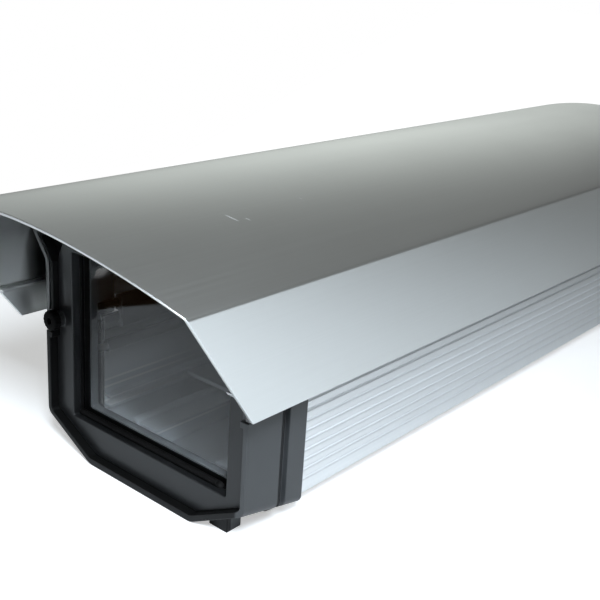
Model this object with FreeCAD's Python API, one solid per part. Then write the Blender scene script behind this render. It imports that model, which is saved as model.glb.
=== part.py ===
import FreeCAD, Part
import math
import os

# Security camera housing. Millimetres, Z up, X across the width, Y from the window to the rear.
# Stored origin: centre of the four underside mounting holes, on the plane the housing stands on.
# The sizes below count Y from the front rim of the cap; save() moves each piece to the origin.

V = FreeCAD.Vector

# Aluminium tray
tray_half = 51.7
tray_top = 50.6
tray_base = 0.0
tray_wall = 2.5
tray_bevel = 8.2
tray_corner_x = tray_half - tray_bevel
tray_corner_z = 7.57
tray_long = 304.0
flute_first = 13.54
flute_pitch = 4.03
flute_width = 2.0
flute_depth = 0.5
flute_top_land = 4.0
skirt_fit = 0.25
tray_inner = tray_half - tray_wall

# Front cap outline
cap_wall = 3.3
cap_half = tray_half + cap_wall
cap_draft = 1.1
cap_depth = 32.5
front_bevel = 26.16
front_corner_x = cap_half - front_bevel
front_corner_z = 14.14
corner_step_x = 0.5
corner_step_z = 0.97
rear_corner_x = tray_corner_x + corner_step_x
rear_corner_z = tray_corner_z - corner_step_z
cap_side_drop = 1.0
cap_side_top = tray_top - cap_side_drop
cap_upper_front = 1.0
cap_upper_floor = 6.0
cap_lip = 1.5
cap_foot_round = 7.0
cap_knee_round = 4.0
rim_wall = 2.2
rim_foot = 3.0
lip_wall = 1.8
foot_wide = 9.0
foot_out = tray_corner_x - 0.5
foot_in = foot_out - foot_wide
foot_front = 4.8
foot_rear = 12.0
foot_root = 9.0

# Places along the length
skirt_lap = 6.5
gasket_room = 1.6
tray_front = cap_depth - skirt_lap
tray_rear = tray_front + tray_long
gasket_seat = tray_front - gasket_room
groove_wide = 4.2
groove_land = 1.6
groove_rear = gasket_seat - groove_land
groove_front = groove_rear - groove_wide
groove_depth = 2.0
groove_rib = 0.9

# Sliding cover
cover_front = 0.5
cover_half = cap_half
cover_gap = 0.4
cover_low = cap_side_top + cover_gap
side_rise = 28.0
shoulder_z = tray_top + side_rise
wing_flare = 8.2
wing_half = cover_half + wing_flare
wing_rise = 10.8
wing_z = shoulder_z + wing_rise
wing_edge = 1.8
roof_inset = 15.0
roof_half = cover_half - roof_inset
roof_rise = 7.4
roof_z = wing_z + roof_rise
cover_wall = 1.6
roof_wall = 1.8
cover_relief = cap_depth + 1.0
slide_fit = 0.4
cap_upper_side = cover_half - cover_wall - slide_fit
tongue_gap = 0.5
tongue_wall = 1.8
tongue_drop = 5.8
tongue_out = tray_inner - tongue_gap
tongue_in = tongue_out - tongue_wall
tongue_low = tray_top - tongue_drop
hook_high = 1.8
hook_reach = 0.7
hook_groove = 1.1

# Window
bezel_front = 3.5
bezel_thick = 4.0
bezel_back = bezel_front + bezel_thick
bezel_fit = 0.15
bezel_drop = 6.2
bezel_top = roof_z - bezel_drop
bezel_face = 9.9
bezel_step = 2.5
bezel_foot_round = 5.0
bezel_knee_round = 3.0
sill_face = 12.15
head_face = 6.4
open_half = cap_half - rim_wall - bezel_face
open_bottom = rim_foot + sill_face
open_top = bezel_top - head_face
glass_lap = 1.4
sill_lap = 2.85
head_lap = 2.8
glass_half = open_half + glass_lap
glass_bottom = open_bottom - sill_lap
glass_top = open_top + head_lap
gasket_front = 0.8
gasket_lip = 0.5
glass_thick = 3.9
gasket_rear = 0.5
flange_thick = 3.5
glass_fit = 0.3
glass_front = bezel_back + gasket_front
glass_back = glass_front + glass_thick
flange_front = glass_back + gasket_rear
flange_rear = flange_front + flange_thick

# Rear end
rear_gasket_thick = 1.5
rear_plate = 10.0
skirt_rear = 12.0
rear_skirt = tray_rear - skirt_rear
rear_plate_front = tray_rear + rear_gasket_thick
rear_plate_rear = rear_plate_front + rear_plate
lip_groove = 3.0
cover_over = 3.5
cover_rear = rear_plate_rear + cover_over
gland_xs = {"left": -28.0, "middle": 0.0, "right": 28.0}
gland_z = 29.0
gland_thread = 8.0
gland_bore = 5.0
gland_flats = 22.0
gland_flange = 5.0
gland_neck = 8.5
gland_nut_long = 13.0
gland_nut_gap = 0.6
locknut_thick = 4.5
cord_bore = 3.4

# Sunshield
shield_wall = 1.6
crease_gap = 1.3
crease_lift = 3.0
flap_lean = 3.0
flap_long = 44.8
arch_rise = 18.45
crease_x = wing_half + shield_wall + crease_gap
crease_z = roof_z + crease_lift
flap_tip_x = crease_x - flap_lean
flap_tip_z = crease_z - flap_long
arch_top = crease_z + arch_rise
arch_radius = (crease_x ** 2 + arch_rise ** 2) / (2.0 * arch_rise)
shield_cut_y = -6.4
shield_cut_slope = 0.74
shield_over = 25.0
shield_rear = cover_rear + shield_over
fin_up = 12.3
fin_z = flap_tip_z + fin_up
fin_wall = 1.5
fin_long = 3.3
fin_tip = flap_tip_x - fin_long
rail_x = 30.0
rail_half = 5.5
rail_deep = 8.07
rail_bottom = arch_top - arch_radius + math.sqrt(arch_radius ** 2 - rail_x ** 2) - rail_deep
rail_lip = 1.4
rail_slot = 3.0
rail_wall = 1.5
rail_front = 25.0
beyond = 3.0 * crease_x

# Fasteners
screw3 = 1.5
head3 = 2.7
head3_high = 2.4
screw4 = 2.0
head4 = 3.75
head4_high = 2.6
nut4_half = 3.7
nut4_wide = 3.5
nut4_thick = 2.2
screw4_rise = 4.4
run_fit = 0.05
hole_fit = 0.2
spacer_half = 5.5
shield_screw_front = 44.0
shield_screw_rear = 40.0
shield_screw_ys = (tray_front + shield_screw_front, tray_rear - shield_screw_rear)
cap_screw_low = (30.0, tray_base + 8.6)
cap_screw_side = (tray_half - 3.8, tray_top - 12.6)
cap_screw_long = 12.0
port_wall = 1.5
closing_port = 3.3
seal_high = 0.5
seal_gap = 0.6
closing_in = 4.6
closing_up = closing_port + seal_high + seal_gap
closing_x = -(cap_half - closing_in)
closing_z = tray_top + closing_up
closing_head = 4.1
closing_head_long = 2.9
closing_seat = cap_upper_front
closing_head_front = closing_seat - closing_head_long
closing_head_fit = 0.6
closing_collar = 3.3
closing_socket = 2.5
closing_socket_deep = 1.6
closing_knurls = 16
closing_shank = 2.0
closing_grip = 10.5
closing_end = cover_relief + closing_grip

# Camera slide
rib_low = 10.6
rib_wall = 1.4
sled_gap = 0.4
sled_thick = 2.0
sled_z = rib_low + rib_wall + sled_gap
rib_high = sled_z + sled_thick + sled_gap
sled_side_gap = 0.8
sled_half = tray_inner - sled_side_gap
rib_grip = 3.2
rib_tip = sled_half - rib_grip
sled_inset_front = 44.0
sled_inset_rear = 40.0
sled_front = tray_front + sled_inset_front
sled_rear = tray_rear - sled_inset_rear
sled_slot_front = sled_front + 30.0
sled_slot_rear = sled_rear - 80.0
sled_slot_half = 3.5
sled_corner = 4.0
sled_hole = 2.25
sled_hole_x = 30.0
sled_hole_y = 20.0
camera_screw_y = sled_slot_front + 50.0
camera_screw_r = 3.1
camera_head_r = 9.0
camera_head_high = 6.6
camera_washer = 0.6
camera_washer_r = 7.0
camera_screw_rise = 7.1
camera_head_top = sled_z - camera_washer
camera_head_z = camera_head_top - camera_head_high
camera_screw_top = sled_z + sled_thick + camera_screw_rise

# Underside mounting holes
mount_x = 22.0
mount_pitch = 70.0
mount_y = (tray_front + tray_rear) / 2.0
mount_bore = 2.5
mount_rail_half = 5.0
mount_rail_top = rib_low
mount_floor = 1.6
mount_depth = mount_rail_top - tray_base - mount_floor


def corner(before, at, after, radius):
    """Arc that rounds one corner: its two ends and its middle point."""
    a = (V(*before) - V(*at)).normalize()
    b = (V(*after) - V(*at)).normalize()
    half = a.getAngle(b) / 2.0
    reach = radius / math.tan(half)
    centre = V(*at) + (a + b).normalize() * (radius / math.sin(half))
    start = V(*at) + a * reach
    end = V(*at) + b * reach
    middle = centre + (V(*at) - centre).normalize() * radius
    return start, middle, end


def wire_xz(points, y=0.0):
    """Closed outline in a plane across Y. Each point is (x, z) or (x, z, corner radius)."""
    flat = [(p[0], y, p[1]) for p in points]
    radii = [p[2] if len(p) > 2 else 0.0 for p in points]
    count = len(flat)
    edges = []
    spots = []
    for i in range(count):
        if radii[i] > 0:
            spots.append(corner(flat[i - 1], flat[i], flat[(i + 1) % count], radii[i]))
        else:
            spots.append((V(*flat[i]), None, V(*flat[i])))
    for i in range(count):
        start, middle, end = spots[i]
        if middle is not None:
            edges.append(Part.Arc(start, middle, end).toShape())
        following = spots[(i + 1) % count][0]
        if end.distanceToPoint(following) > 1e-6:
            edges.append(Part.makeLine(end, following))
    return Part.Wire(edges)


def prism(points, y0, y1):
    """Outline extruded along Y."""
    face = Part.Face(wire_xz(points, y0))
    return face.extrude(V(0, y1 - y0, 0))


def both_sides(half):
    """Outline from its right half, listed from the lowest centre point to the highest."""
    left = [(-p[0],) + tuple(p[1:]) for p in reversed(half)]
    return list(half) + left


def box(x0, x1, y0, y1, z0, z1):
    return Part.makeBox(x1 - x0, y1 - y0, z1 - z0, V(x0, y0, z0))


def rod_y(x, z, radius, y0, y1):
    return Part.makeCylinder(radius, y1 - y0, V(x, y0, z), V(0, 1, 0))


def rod_z(x, y, radius, z0, z1):
    return Part.makeCylinder(radius, z1 - z0, V(x, y, z0), V(0, 0, 1))


def ring_y(x, z, outer, inner, y0, y1):
    return rod_y(x, z, outer, y0, y1).cut(rod_y(x, z, inner, y0 - 1, y1 + 1))


def hexagon_y(x, z, flats, y0, y1):
    """Hexagonal bar along Y."""
    radius = flats / math.sqrt(3.0)
    points = []
    for k in range(6):
        turn = math.radians(60 * k + 30)
        points.append((x + radius * math.cos(turn), z + radius * math.sin(turn)))
    return prism(points, y0, y1)


def fused(shapes):
    whole = shapes[0].multiFuse(shapes[1:]) if len(shapes) > 1 else shapes[0]
    return whole.removeSplitter()


def both(x):
    return (-x, x)


def save(name, shape):
    placed = shape.copy()
    placed.translate(V(0, -mount_y, 0))
    placed.exportStep("parts/%s.step" % name)


# Outlines shared by several pieces

def cap_low_outline(grow=0.0, rear=False):
    """Lower half of the cap section, at its front rim or at its rear edge."""
    side = cap_half - cap_draft if rear else cap_half
    foot = rear_corner_x if rear else front_corner_x
    knee = rear_corner_z if rear else front_corner_z
    lean = grow * 0.45
    half = [
        (foot + lean * 0.6, -grow, cap_foot_round),
        (side + grow, knee - lean, cap_knee_round),
        (side + grow, cap_side_top),
    ]
    return both_sides(half)


def cap_upper_outline(inset=0.0):
    """Upper part of the cap and of the rear plug, which sit inside the cover skin."""
    side = cap_upper_side - inset
    half = [
        (side, cap_side_top - 5.0),
        (side, shoulder_z + 0.5 - inset * 0.4, 1.5),
        (wing_half - cover_wall - 0.8 - inset * 1.2, wing_z + 0.2 - inset * 0.7, 1.0),
        (roof_half - 0.8 - inset * 0.4, roof_z - roof_wall - slide_fit - inset, 2.0),
    ]
    return both_sides(half)


def tray_outline(grow=0.0, top=tray_top):
    lean = grow * 0.4
    half = [
        (tray_corner_x + lean, tray_base - grow, 2.5),
        (tray_half + grow, tray_corner_z - lean, 2.5),
        (tray_half + grow, top),
    ]
    return both_sides(half)


def bezel_outline(grow=0.0):
    """Plate that fills the rim, a little narrower above the cap's side walls."""
    low = front_corner_x + grow * 0.3
    side = cap_half - rim_wall
    upper = cap_upper_side - lip_wall
    step_z = cap_side_top - bezel_step
    half = [
        (low, rim_foot - grow, bezel_foot_round),
        (side + grow, front_corner_z + 1.3 - grow * 0.4, bezel_knee_round),
        (side + grow, step_z + grow),
        (upper + grow, step_z + grow),
        (upper + grow, shoulder_z + 1.0),
        (upper - 5.0 + grow, bezel_top + grow, 3.0),
    ]
    return both_sides(half)


def frame_y(half, bottom, top, y0, y1, radius=1.5):
    """Upright slab with rounded corners."""
    points = [
        (half, bottom, radius),
        (half, top, radius),
        (-half, top, radius),
        (-half, bottom, radius),
    ]
    return prism(points, y0, y1)


# Front cap and window

def front_cap():
    low_front = wire_xz(cap_low_outline(), 0.0)
    low_rear = wire_xz(cap_low_outline(rear=True), cap_depth)
    body = Part.makeLoft([low_front, low_rear], True, True)
    upper = prism(cap_upper_outline(), cap_upper_front, cap_depth)
    recess = prism(cap_upper_outline(cap_lip), cap_upper_front - 1, cap_upper_floor)
    recess = recess.cut(box(-beyond, beyond, -5, cap_upper_floor + 1, 0.0, cap_side_top + cap_lip))
    body = body.fuse(upper.cut(recess))
    for side in (-1, 1):
        x0, x1 = sorted((side * foot_in, side * foot_out))
        body = body.fuse(box(x0, x1, foot_front, foot_rear, tray_base, foot_root))
    body = body.cut(prism(bezel_outline(bezel_fit), -1.0, bezel_back))
    body = body.cut(frame_y(glass_half + glass_fit, glass_bottom - glass_fit,
                            glass_top + glass_fit, bezel_back - 1, flange_front))
    body = body.cut(frame_y(open_half - 2.0, open_bottom + 2.0, open_top - 1.0,
                            flange_front - 1, flange_rear + 1))
    seat = both_sides([
        (tray_corner_x - 3.0, tray_base + tray_wall + 2.1, 2.0),
        (tray_inner - 0.6, tray_corner_z + 4.63, 2.0),
        (tray_inner - 0.6, cap_side_top + 2.0),
    ])
    body = body.cut(prism(seat, flange_rear, cap_depth + 1))
    body = body.cut(prism(cap_upper_outline(2.2), flange_rear, cap_depth + 1))
    body = body.cut(prism(tray_outline(skirt_fit, tray_top + 0.6), gasket_seat, cap_depth + 1))
    body = body.cut(side_groove())
    for x, z in cap_screw_spots():
        body = body.cut(rod_y(x, z, screw3 + hole_fit, bezel_back, tray_front))
        body = body.cut(rod_y(x, z, head3 + hole_fit, bezel_back - 0.5, bezel_back + 4.0))
    body = body.cut(rod_y(closing_x, closing_z, closing_shank + run_fit, 0, cap_depth + 1))
    return body.removeSplitter()


def side_groove():
    """Groove round the sides and underside, with a low rib left along its middle."""
    outer = both_sides([
        (rear_corner_x, -5.0),
        (cap_half + 5.0, -5.0),
        (cap_half + 5.0, cap_side_top + 0.2),
    ])
    middle_y = (groove_front + groove_rear) / 2.0
    core = prism(cap_low_outline(-groove_depth, True), groove_front - 1, groove_rear + 1)
    band = prism(outer, groove_front, groove_rear).cut(core)
    ridge = prism(cap_low_outline(-groove_depth * 0.45, True),
                  middle_y - groove_rib / 2, middle_y + groove_rib / 2)
    above = box(-beyond, beyond, groove_front - 1, groove_rear + 1, cap_side_top - 0.01, roof_z)
    return band.cut(ridge).cut(above)


def cap_screw_spots():
    return [(s * x, z) for x, z in (cap_screw_low, cap_screw_side) for s in (-1, 1)]


def window_bezel():
    plate = prism(bezel_outline(), bezel_front, bezel_back)
    plate = plate.cut(frame_y(open_half, open_bottom, open_top, bezel_front - 1, bezel_back + 1, 0.8))
    collar = rod_y(closing_x, closing_z, closing_collar, closing_seat, bezel_front + 1)
    plate = plate.fuse(collar.common(prism(bezel_outline(), closing_seat, bezel_front + 1)))
    plate = plate.cut(rod_y(closing_x, closing_z, closing_shank + hole_fit, 0, bezel_back + 1))
    return plate


def window_glass():
    glass = frame_y(glass_half, glass_bottom, glass_top, glass_front, glass_back)
    return glass


def glass_gasket_front():
    """Frame between bezel and glass, with a bead along the lower ledge that ends in a round stop."""
    outer = frame_y(glass_half, glass_bottom, glass_top, bezel_back, glass_front)
    hole = frame_y(open_half - gasket_lip, open_bottom - gasket_lip + 1.0, open_top - gasket_lip,
                   bezel_back - 1, glass_front + 1, 0.8)
    ring = outer.cut(hole)
    bead_y = glass_front - 1.5
    bead_z = open_bottom + 1.25
    bead = Part.makeCylinder(1.2, 2 * open_half - 6.0, V(-open_half + 1.0, bead_y, bead_z), V(1, 0, 0))
    stop = Part.makeSphere(2.1, V(open_half - 5.0, bead_y - 0.7, open_bottom + 2.15))
    foot = box(-open_half + 1.0, open_half - 5.0, bead_y - 0.8, glass_front - 0.01,
               open_bottom + 0.05, bead_z)
    whole = ring.fuse(bead).fuse(foot).fuse(stop)
    return whole.removeSplitter()


def glass_gasket_rear():
    outer = frame_y(glass_half, glass_bottom, glass_top, glass_back, flange_front)
    hole = frame_y(open_half - 1.4, open_bottom + 1.4, open_top - 0.6, glass_back - 1, flange_front + 1)
    return outer.cut(hole)


def pan_screw_y(x, z, radius, head, high, y_seat, y_end, toward=-1):
    """Screw along Y whose head sits on y_seat, on the side given by toward."""
    y0, y1 = sorted((y_seat, y_end))
    shank = rod_y(x, z, radius, y0, y1)
    h0, h1 = sorted((y_seat, y_seat + toward * high))
    cap = rod_y(x, z, head, h0, h1)
    edges = [e for e in cap.Edges if abs(e.CenterOfMass.y - (y_seat + toward * high)) < 1e-6]
    cap = cap.makeFillet(high * 0.35, edges[:1])
    face = y_seat + toward * high
    d0, d1 = sorted((face - toward * high * 0.55, face + toward))
    cap = cap.cut(box(x - head * 0.6, x + head * 0.6, d0, d1, z - 0.3, z + 0.3))
    cap = cap.cut(box(x - 0.3, x + 0.3, d0, d1, z - head * 0.6, z + head * 0.6))
    return cap.fuse(shank)


def front_cap_screws():
    seat = bezel_back + 4.0
    made = [pan_screw_y(x, z, screw3, head3, head3_high, seat, tray_front + cap_screw_long)
            for x, z in cap_screw_spots()]
    return Part.makeCompound(made)


def closing_screw():
    """Captive screw with a knurled round head and a hexagon socket."""
    head = rod_y(closing_x, closing_z, closing_head, closing_head_front, closing_seat)
    edges = [e for e in head.Edges if abs(e.CenterOfMass.y - closing_head_front) < 1e-6]
    head = head.makeFillet(0.6, edges[:1])
    for k in range(closing_knurls):
        turn = 2.0 * math.pi * k / closing_knurls
        x = closing_x + (closing_head + 0.35) * math.cos(turn)
        z = closing_z + (closing_head + 0.35) * math.sin(turn)
        head = head.cut(rod_y(x, z, 0.6, closing_head_front - 1, closing_seat - 0.6))
    head = head.cut(hexagon_y(closing_x, closing_z, closing_socket, closing_head_front - 1,
                              closing_head_front + closing_socket_deep))
    return head.fuse(rod_y(closing_x, closing_z, closing_shank, closing_seat, closing_end))


def front_gasket():
    """Seal between the cap and the end of the tray."""
    outer = prism(tray_outline(-0.3, cap_side_top - 1.0), gasket_seat, tray_front)
    inner = prism(tray_outline(-tray_wall + 0.2, cap_side_top + 2.0), gasket_seat - 1, tray_front + 1)
    ring = outer.cut(inner)
    for x, z in cap_screw_spots():
        ring = ring.cut(rod_y(x, z, screw3 + hole_fit, gasket_seat - 1, tray_front + 1))
    return ring


# Aluminium tray

def housing_tray():
    shell = prism(tray_outline(), tray_front, tray_rear)
    hollow = both_sides([
        (tray_corner_x - 1.0, tray_base + tray_wall, 1.5),
        (tray_half - tray_wall, tray_corner_z + 1.0, 1.5),
        (tray_half - tray_wall, tray_top + 1.0),
    ])
    shell = shell.cut(prism(hollow, tray_front - 1, tray_rear + 1))
    pieces = [shell]
    long_y = (tray_front, tray_rear)
    for side in (-1, 1):
        for z in (rib_low, rib_high):
            x0, x1 = sorted((side * rib_tip, side * (tray_half - 1.0)))
            pieces.append(box(x0, x1, long_y[0], long_y[1], z, z + rib_wall))
        x0, x1 = sorted((side * (mount_x - mount_rail_half), side * (mount_x + mount_rail_half)))
        pieces.append(box(x0, x1, long_y[0], long_y[1], tray_base + 1, mount_rail_top))
        port = screw3 + run_fit + port_wall - 0.1
        x, z = cap_screw_low
        pieces.append(rod_y(side * x, z, port, *long_y))
        pieces.append(box(side * x - 1.2, side * x + 1.2, long_y[0], long_y[1], tray_base + 1, z))
        x, z = cap_screw_side
        pieces.append(rod_y(side * x, z, port - 0.4, *long_y))
    tray = fused(pieces)
    for x, z in cap_screw_spots():
        tray = tray.cut(rod_y(x, z, screw3 + run_fit, tray_front - 1, tray_rear + 1))
    for side in (-1, 1):
        x0, x1 = sorted((side * (tray_inner - 0.5), side * (tray_inner + hook_groove)))
        tray = tray.cut(box(x0, x1, tray_front - 1, tray_rear + 1, tongue_low - slide_fit,
                            tongue_low + hook_high + slide_fit))
        for k in range(flute_count()):
            z = flute_first + k * flute_pitch
            notch = [
                (side * (tray_half + 0.2), z - flute_width / 2),
                (side * (tray_half - flute_depth), z - 0.15),
                (side * (tray_half - flute_depth), z + 0.15),
                (side * (tray_half + 0.2), z + flute_width / 2),
            ]
            tray = tray.cut(prism(notch, tray_front - 1, tray_rear + 1))
        for dy in both(mount_pitch / 2.0):
            tray = tray.cut(rod_z(side * mount_x, mount_y + dy, mount_bore, tray_base - 1,
                                  tray_base + mount_depth))
    return tray.removeSplitter()


def flute_count():
    """Grooves that fit on the side wall below the top land."""
    return int((tray_top - flute_top_land - flute_first) / flute_pitch) + 1


def cover_seals():
    """Rubber strips along the top edges of the tray."""
    made = []
    for side in (-1, 1):
        x0, x1 = sorted((side * (tray_half - 0.3), side * (tray_half - tray_wall + 0.3)))
        made.append(box(x0, x1, tray_front + 9.0, tray_rear - 1.0, tray_top, tray_top + seal_high))
    return Part.makeCompound(made)


# Sliding cover

def cover_skin(inset=0.0):
    """Outer section of the cover, or its inner section when inset."""
    side = cover_half - inset * cover_wall
    half = [
        (side, cover_low if inset == 0 else cover_low - 5.0),
        (side, shoulder_z + inset * 0.5, 1.5 + 1.0 * (1 - inset)),
        (wing_half - inset * 1.9, wing_z + inset * 0.5),
        (wing_half - inset * 1.9, wing_z + wing_edge - inset * 1.2),
        (roof_half - inset * 0.4, roof_z - inset * roof_wall, 4.0),
    ]
    return both_sides(half)


def housing_cover():
    skin = prism(cover_skin(), cover_front, cover_rear)
    skin = skin.cut(prism(cover_skin(1.0), cover_front - 1, cover_rear + 1))
    pieces = [skin]
    for side in (-1, 1):
        port_x = side * abs(closing_x)
        pieces.append(rod_y(port_x, closing_z, closing_port, cover_relief, cover_rear))
        x0, x1 = sorted((side * (abs(closing_x) - 0.5), side * (cover_half - 0.5)))
        pieces.append(box(x0, x1, cover_relief, cover_rear, closing_z - closing_port, closing_z + 1.0))
        x0, x1 = sorted((side * tongue_in, side * tongue_out))
        pieces.append(box(x0, x1, cover_relief, cover_rear, tongue_low, closing_z - 1.0))
        x0, x1 = sorted((side * (tongue_out - 0.7), side * (tray_inner + hook_reach)))
        pieces.append(box(x0, x1, cover_relief, cover_rear, tongue_low, tongue_low + hook_high))
    cover = fused(pieces)
    for side in (-1, 1):
        port_x = side * abs(closing_x)
        cover = cover.cut(rod_y(port_x, closing_z, closing_shank + run_fit, cover_relief - 1, cover_rear + 1))
    cover = cover.cut(rod_y(closing_x, closing_z, closing_head + closing_head_fit, -1, closing_seat + 0.6))
    for x, y in shield_screw_spots():
        cover = cover.cut(rod_z(x, y, screw4 + hole_fit, roof_z - 5, roof_z + 1))
    return cover.removeSplitter()


# Sunshield

def arch_points(drop):
    """Two ends and middle of the arch, moved inwards by drop."""
    return (crease_x - drop, crease_z - drop * 0.15), arch_top - drop


def shield_section(drop, low):
    (cx, cz), top = arch_points(drop)
    tip_x = flap_tip_x - drop
    arc = Part.Arc(V(-cx, 0, cz), V(0, 0, top), V(cx, 0, cz)).toShape()
    right = Part.makeLine(V(cx, 0, cz), V(tip_x, 0, low))
    base = Part.makeLine(V(tip_x, 0, low), V(-tip_x, 0, low))
    left = Part.makeLine(V(-tip_x, 0, low), V(-cx, 0, cz))
    return Part.Face(Part.Wire([arc, right, base, left]))


def sunshield():
    """Arched roof and side flaps cut from one extrusion, with a slanting front cut."""
    start = shield_cut_y - shield_cut_slope * (arch_top - flap_tip_z) - 20.0
    outer = shield_section(0.0, flap_tip_z)
    inner = shield_section(shield_wall, flap_tip_z - 10.0)
    outer.translate(V(0, start, 0))
    inner.translate(V(0, start - 1, 0))
    shell = outer.extrude(V(0, shield_rear - start, 0))
    shell = shell.cut(inner.extrude(V(0, shield_rear - start + 2, 0)))
    pieces = [shell]
    for side in (-1, 1):
        x0, x1 = sorted((side * fin_tip, side * (flap_tip_x - 0.2)))
        pieces.append(box(x0, x1, start, shield_rear, fin_z, fin_z + fin_wall))
        centre = side * rail_x
        channel = box(centre - rail_half, centre + rail_half, rail_front, shield_rear, rail_bottom, arch_top)
        channel = channel.cut(box(centre - rail_half + rail_wall, centre + rail_half - rail_wall,
                                  rail_front - 1, shield_rear + 1, rail_bottom + rail_lip, arch_top + 1))
        channel = channel.cut(box(centre - rail_slot, centre + rail_slot,
                                  rail_front - 1, shield_rear + 1, rail_bottom - 1,
                                  rail_bottom + rail_lip + 1))
        trim = shield_section(shield_wall * 0.5, flap_tip_z)
        trim.translate(V(0, start, 0))
        pieces.append(channel.common(trim.extrude(V(0, shield_rear - start, 0))))
    shield = fused(pieces)
    low, high = flap_tip_z - 15.0, arch_top + 12.0
    cut = Part.Face(Part.makePolygon([
        V(-beyond, start - 5, low),
        V(-beyond, shield_cut_y - shield_cut_slope * (low - flap_tip_z), low),
        V(-beyond, shield_cut_y - shield_cut_slope * (high - flap_tip_z), high),
        V(-beyond, start - 5, high),
        V(-beyond, start - 5, low),
    ]))
    shield = shield.cut(cut.extrude(V(2 * beyond, 0, 0)))
    return shield.removeSplitter()


def shield_screw_spots():
    return [(s * rail_x, y) for y in shield_screw_ys for s in (-1, 1)]


def shield_spacers():
    made = []
    for x, y in shield_screw_spots():
        post = rod_z(x, y, spacer_half, roof_z, rail_bottom)
        made.append(post.cut(rod_z(x, y, screw4 + hole_fit, roof_z - 1, rail_bottom + 1)))
    return Part.makeCompound(made)


def shield_screws():
    made = []
    under = roof_z - roof_wall
    for x, y in shield_screw_spots():
        head = rod_z(x, y, head4, under - head4_high, under)
        low = [e for e in head.Edges if abs(e.CenterOfMass.z - (under - head4_high)) < 1e-6]
        head = head.makeFillet(head4_high * 0.4, low[:1])
        head = head.cut(box(x - 2.4, x + 2.4, y - 0.4, y + 0.4, under - head4_high - 1,
                            under - head4_high * 0.45))
        made.append(head.fuse(rod_z(x, y, screw4, under, rail_bottom + screw4_rise)))
    return Part.makeCompound(made)


def shield_nuts():
    made = []
    for x, y in shield_screw_spots():
        base = rail_bottom + rail_lip
        block = box(x - nut4_half, x + nut4_half, y - nut4_wide, y + nut4_wide, base, base + nut4_thick)
        made.append(block.cut(rod_z(x, y, screw4 + run_fit, base - 1, base + 4)))
    return Part.makeCompound(made)


# Camera slide

def camera_sled():
    plate = box(-sled_half, sled_half, sled_front, sled_rear, sled_z, sled_z + sled_thick)
    corners = [e for e in plate.Edges if e.Vertexes[0].Point.distanceToPoint(e.Vertexes[1].Point) < 3.0]
    plate = plate.makeFillet(sled_corner, corners)
    slot = box(-sled_slot_half, sled_slot_half, sled_slot_front, sled_slot_rear, 0, tray_top)
    for y in (sled_slot_front, sled_slot_rear):
        slot = slot.fuse(rod_z(0, y, sled_slot_half, 0, tray_top))
    plate = plate.cut(slot)
    for x in both(sled_hole_x):
        for y in (sled_front + sled_hole_y, sled_rear - sled_hole_y):
            plate = plate.cut(rod_z(x, y, sled_hole, 0, tray_top))
    return plate


def camera_screw():
    """Knurled thumb screw that holds the camera on the slide."""
    top = camera_head_top
    head = rod_z(0, camera_screw_y, camera_head_r, camera_head_z, top)
    rims = [e for e in head.Edges if abs(e.CenterOfMass.z - camera_head_z) < 1e-6]
    head = head.makeChamfer(0.8, rims[:1])
    for k in range(24):
        turn = math.radians(15.0 * k)
        x = (camera_head_r + 0.3) * math.cos(turn)
        y = camera_screw_y + (camera_head_r + 0.3) * math.sin(turn)
        head = head.cut(rod_z(x, y, 0.8, camera_head_z - 1, top + 1))
    shank = rod_z(0, camera_screw_y, camera_screw_r, top, camera_screw_top)
    return head.fuse(shank)


def camera_screw_washer():
    washer = rod_z(0, camera_screw_y, camera_washer_r, camera_head_top, sled_z)
    return washer.cut(rod_z(0, camera_screw_y, camera_screw_r + hole_fit, 0, tray_top))


# Rear end

def rear_plug_outline(gap):
    """Part of the rear plate that the cover slides over, clear of its inner ribs."""
    side = cover_half - cover_wall - gap
    half = [
        (tongue_in - 1.1 - gap, tongue_low - 1.0 - gap * 0.2),
        (tongue_in - 1.1 - gap, closing_z + closing_port + 0.8 + gap, 1.0),
        (side, closing_z + closing_port + 1.6 + gap, 1.0),
        (side, shoulder_z + 0.5 - gap * 0.4, 1.5),
        (wing_half - cover_wall - 1.6 - gap, wing_z - 0.4, 1.0),
        (roof_half - 0.8 - gap * 0.4, roof_z - roof_wall - gap, 2.0),
    ]
    return both_sides(half)


def rear_cap():
    low = both_sides([
        (rear_corner_x, tray_base, 5.0),
        (cap_half - cap_draft, rear_corner_z, 3.0),
        (cap_half - cap_draft, cap_side_top),
    ])
    body = prism(low, rear_skirt, rear_plate_rear)
    body = body.cut(prism(tray_outline(skirt_fit, shoulder_z), rear_skirt - 1, rear_plate_front))
    for side in (-1, 1):
        x0, x1 = sorted((side * (tongue_in - 1.9), side * (tray_inner + 1.5)))
        body = body.cut(box(x0, x1, rear_skirt - 1, rear_plate_rear + 1, tongue_low - 1.2, shoulder_z))
    body = body.fuse(prism(rear_plug_outline(0.8), rear_plate_front, rear_plate_rear))
    groove_y = (rear_plate_front + lip_groove, rear_plate_front + 2 * lip_groove)
    ring = prism(rear_plug_outline(-2.0), *groove_y).cut(prism(rear_plug_outline(2.2), *groove_y))
    ring = ring.cut(box(-beyond, beyond, groove_y[0] - 1, groove_y[1] + 1, gland_z, closing_z + 5.6))
    body = body.cut(ring)
    for x in gland_xs.values():
        body = body.cut(rod_y(x, gland_z, gland_thread + hole_fit, rear_skirt, rear_plate_rear + 1))
    for x, z in cap_screw_spots():
        body = body.cut(rod_y(x, z, screw3 + hole_fit, rear_plate_front - 1, rear_plate_rear + 1))
        body = body.cut(rod_y(x, z, head3 + hole_fit, rear_plate_rear - 2.8, rear_plate_rear + 1))
    edges = [e for e in body.Edges
             if abs(e.CenterOfMass.y - rear_plate_rear) < 1e-6 and e.CenterOfMass.z < 2.0]
    return body.makeChamfer(1.0, edges).removeSplitter() if edges else body.removeSplitter()


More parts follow.
